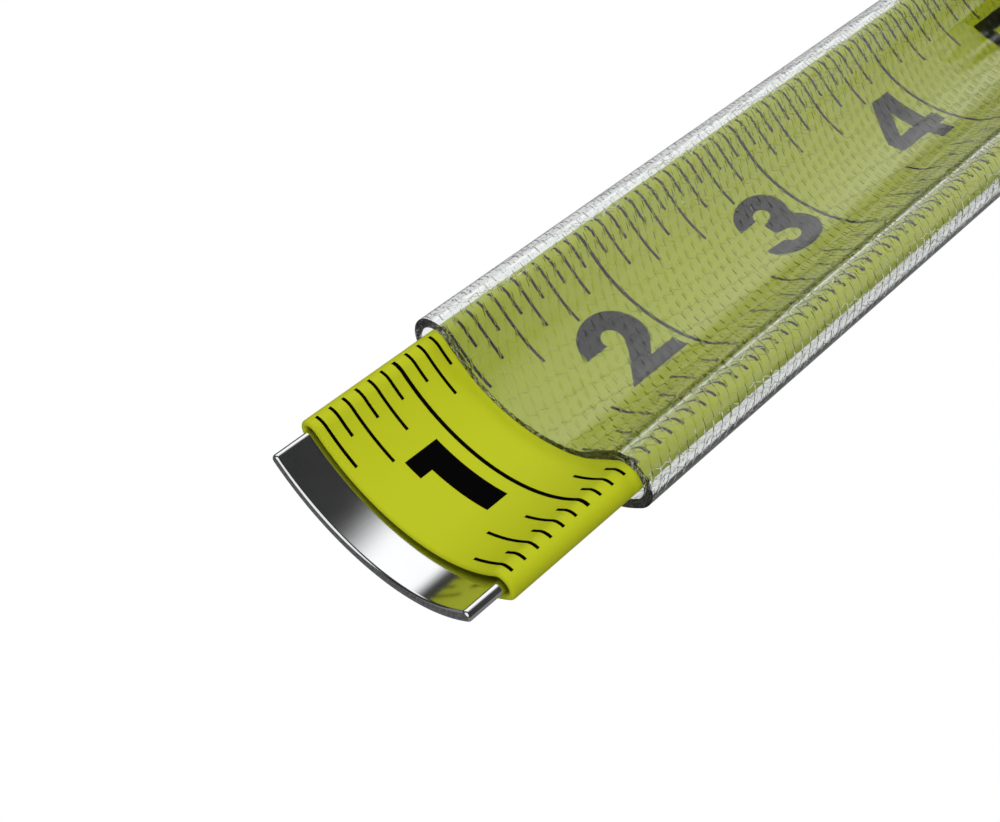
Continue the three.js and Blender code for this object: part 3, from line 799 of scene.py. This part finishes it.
CAMERA_AT = (225.267, 58.337, 107.145)
CAMERA_AIM = (164.077, -0.719, 13.2)

# Half spaces of the studio, as a direction and the cosines to it where the light starts and is full. The
# first two bound a wide softbox behind the blade that ends above the horizon, and the third is a small one
# by the camera.
SOFTBOX_SIDE = ((-0.86, -0.31, -0.41), -0.08, 0.13)
SOFTBOX_BELOW = ((0, 0, 1), 0.27, 0.45)
SECOND_PATCH = ((0.72, 0.1, 0.66), 0.74, 0.84)
SOFTBOX_STRENGTH, SECOND_STRENGTH, DIM_STUDIO = 1.75, 1.5, 0.05

FLOOR_Z, FLOOR_RADII = -0.05, (60, 400, 2600)
FLOOR_GLOW = 0.31  # what the floor gives to light and reflections
# The strip of floor that the blade shades: its middle, half width and end, and what it and the rest of the
# floor add to the glow
SHADE_Y, SHADE_HALF_WIDTH, SHADE_END = 7.0, 8.0, 10.5
SHADE_DARK, SHADE_LIGHT = -0.26, 0.55


def aimed(data, name, at_mm, aim_mm):
    thing = bpy.data.objects.new(name, data)
    at, aim = Vector(at_mm) * MM, Vector(aim_mm) * MM
    thing.location = at
    thing.rotation_euler = (aim - at).to_track_quat("-Z", "Y").to_euler()
    bpy.context.scene.collection.objects.link(thing)
    return thing


def camera():
    data = bpy.data.cameras.new("camera")
    data.lens, data.sensor_width, data.clip_start = 50, 36, 0.001
    bpy.context.scene.camera = aimed(data, "camera", CAMERA_AT, CAMERA_AIM)


def softbox(name, at_mm, size_mm, watts, in_reflections, aim_mm=(120, 0, 20)):
    data = bpy.data.lights.new(name, "AREA")
    data.shape, data.size, data.energy = "DISK", size_mm * MM, watts
    lamp = aimed(data, name, at_mm, aim_mm)
    lamp.visible_glossy = in_reflections
    lamp.visible_transmission = in_reflections
    return lamp


def ray_kinds(shader):
    """Two switches: plain and trapped.

    plain is a ray seen straight or only through clear plastic, and trapped is one that bounced inside it.
    """
    path = shader.add("LightPath", output="Is Camera Ray")
    ways = path.node.outputs
    through = shader.math("MULTIPLY", ways["Is Transmission Ray"], below_half(shader, ways["Diffuse Depth"]))
    plain = shader.math("MULTIPLY_ADD", through, below_half(shader, ways["Glossy Depth"]), path, clamp=True)
    trapped = shader.math("SUBTRACT", through, plain, clamp=True)
    return plain, trapped


def below_half(shader, value):
    return shader.math("LESS_THAN", value, 0.5)


def studio_world():
    """White behind the object, and for light and reflections a dim studio with one soft bright patch."""
    shader = Shader("studio", world=True)
    direction = shader.add("TexCoord", output="Generated")
    wide = shader.math("MULTIPLY", half_space(shader, direction, *SOFTBOX_SIDE), SOFTBOX_STRENGTH)
    main = shader.math("MULTIPLY", half_space(shader, direction, *SOFTBOX_BELOW), wide)
    second = shader.math("MULTIPLY", half_space(shader, direction, *SECOND_PATCH), SECOND_STRENGTH)
    glow = shader.math("ADD", shader.math("ADD", main, second), DIM_STUDIO)
    studio = shader.add("Background", {"Color": (1, 1, 1, 1), "Strength": glow})
    white = shader.add("Background", {"Color": (1, 1, 1, 1), "Strength": 1.0})
    plain, trapped = ray_kinds(shader)
    mixed = shader.add("MixShader", {0: shader.math("ADD", plain, trapped), 1: studio, 2: white})
    bpy.context.scene.world = shader.finish(mixed)


def half_space(shader, direction, towards, start, full):
    """1 for directions whose cosine to towards is above full, and 0 below start."""
    aim = Vector(towards).normalized()
    cosine = shader.add("VectorMath", {0: direction, 1: aim}, output="Value", operation="DOT_PRODUCT")
    return shader.add("MapRange", {"Value": cosine, 1: start, 2: full}, interpolation_type="SMOOTHSTEP")


def studio_floor():
    """A pale floor lit from inside, so that nothing casts a dark shadow on it."""
    shader = Shader("pale_floor")
    plain, trapped = ray_kinds(shader)
    lit = shader.add("MapRange", {"Value": plain, 3: FLOOR_GLOW, 4: 1.0})
    across = shader.add("SeparateXYZ", {0: shader.position()}, output="Y")
    from_shade = shader.math("ABSOLUTE", shader.math("SUBTRACT", across, SHADE_Y * MM))
    edges = {1: SHADE_HALF_WIDTH * MM, 2: SHADE_END * MM, 3: SHADE_DARK, 4: SHADE_LIGHT}
    shade = shader.add("MapRange", {"Value": from_shade, **edges})
    strength = shader.math("MULTIPLY_ADD", trapped, shade, lit)
    material = shader.finish(shader.add("Emission", {"Color": (1, 1, 1, 1), "Strength": strength}))
    turns = np.linspace(0, 2 * math.pi, 97)[:-1]
    points = [(r * math.cos(a), r * math.sin(a), FLOOR_Z) for r in FLOOR_RADII for a in turns]
    faces = [tuple(range(len(turns)))] + ring_faces(len(FLOOR_RADII), len(turns))
    mesh = bpy.data.meshes.new("floor")
    mesh.from_pydata([tuple(MM * c for c in p) for p in points], [], faces)
    mesh.materials.append(material)
    floor = bpy.data.objects.new("floor", mesh)
    bpy.context.scene.collection.objects.link(floor)


# ---------- Assembly ----------


def dress_blade():
    steel_core(polished_steel())
    coat = coat_paint()
    printed_coat(coat)
    clear_jacket(clear_vinyl())
    ink = printing_ink()
    scale_marks(ink)
    for number in DIGITS:
        numeral(number, ink)
    refined("blade_tail", coat, "blade")
    refined("blade_coil", coat, "reel")


def keep_out_of_reflections(piece):
    """Lets the studio show in the blade's gloss where the dark case would."""
    piece.visible_glossy = False


def dress_case():
    shell = moulded("shell_plastic", (0.030, 0.033, 0.037), (0.044, 0.048, 0.053), 0.42, 2600, 0.035)
    rubber = knurled_rubber()
    plain_rubber = moulded("plain_rubber", (0.012, 0.012, 0.013), (0.021, 0.021, 0.022), 0.66, 3200, 0.03)
    button = moulded("button_plastic", (0.43, 0.48, 0.012), (0.50, 0.55, 0.016), 0.36, 2400, 0.02, coat=0.2)
    white = moulded("white_plastic", (0.55, 0.55, 0.54), (0.66, 0.66, 0.65), 0.45, 2400, 0.02)
    grey = moulded("grey_plastic", (0.20, 0.21, 0.22), (0.27, 0.28, 0.29), 0.5, 2400, 0.02)
    spring = brushed_metal("blued_spring", (0.10, 0.11, 0.13), (0.17, 0.18, 0.20), (4000, 200, 4000))
    clip = brushed_metal("clip_metal", (0.42, 0.43, 0.44), (0.60, 0.61, 0.62), (5200, 5200, 160))
    even = (3000, 3000, 3000)
    screw = brushed_metal("screw_metal", (0.30, 0.31, 0.32), (0.46, 0.47, 0.48), even, 0.32, 0.0)
    for node, material, slot, bevel in (
        ("case_left", shell, "shell", 0.35),
        ("case_right", shell, "shell", 0.35),
        ("grip_left", rubber, "rubber", 0.3),
        ("grip_right", rubber, "rubber", 0.3),
        ("nose_bumper", plain_rubber, "rubber", 0.35),
        ("mouth_guide", white, "white_plastic", 0.15),
        ("spindle", grey, "spring_steel", 0.1),
        ("power_spring", spring, "spring_steel", 0.0),
        ("slip_disc_left", white, "white_plastic", 0.1),
        ("slip_disc_right", white, "white_plastic", 0.1),
        ("clip_screw", screw, "screw_steel", 0.15),
        *((f"case_screw_{i}", screw, "screw_steel", 0.12) for i in range(1, 5)),
    ):
        keep_out_of_reflections(refined(node, material, "case", bevel))
    keep_out_of_reflections(ringed_badge(spun_metal()))
    keep_out_of_reflections(button_ribs(button))
    for node, material, body, slot, bevel in (
        ("reel_drum", grey, "reel", "reel_plastic", 0.1),
        ("reel_cover", grey, "reel", "reel_plastic", 0.1),
        ("lock_button", button, "lock", "button", 0.3),
        ("lock_tongue", grey, "lock", "reel_plastic", 0.15),
        ("lock_pad", plain_rubber, "lock", "rubber", 0.2),
    ):
        keep_out_of_reflections(refined(node, material, body, bevel))
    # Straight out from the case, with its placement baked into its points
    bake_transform(belt_clip(clip))


def light_studio():
    studio_world()
    studio_floor()
    camera()
    softbox("fill", (330, 420, 520), 420, 1.3, in_reflections=False)
    bpy.context.scene.view_settings.view_transform = "Standard"


dress_blade()
dress_case()
light_studio()
bpy.context.view_layer.update()
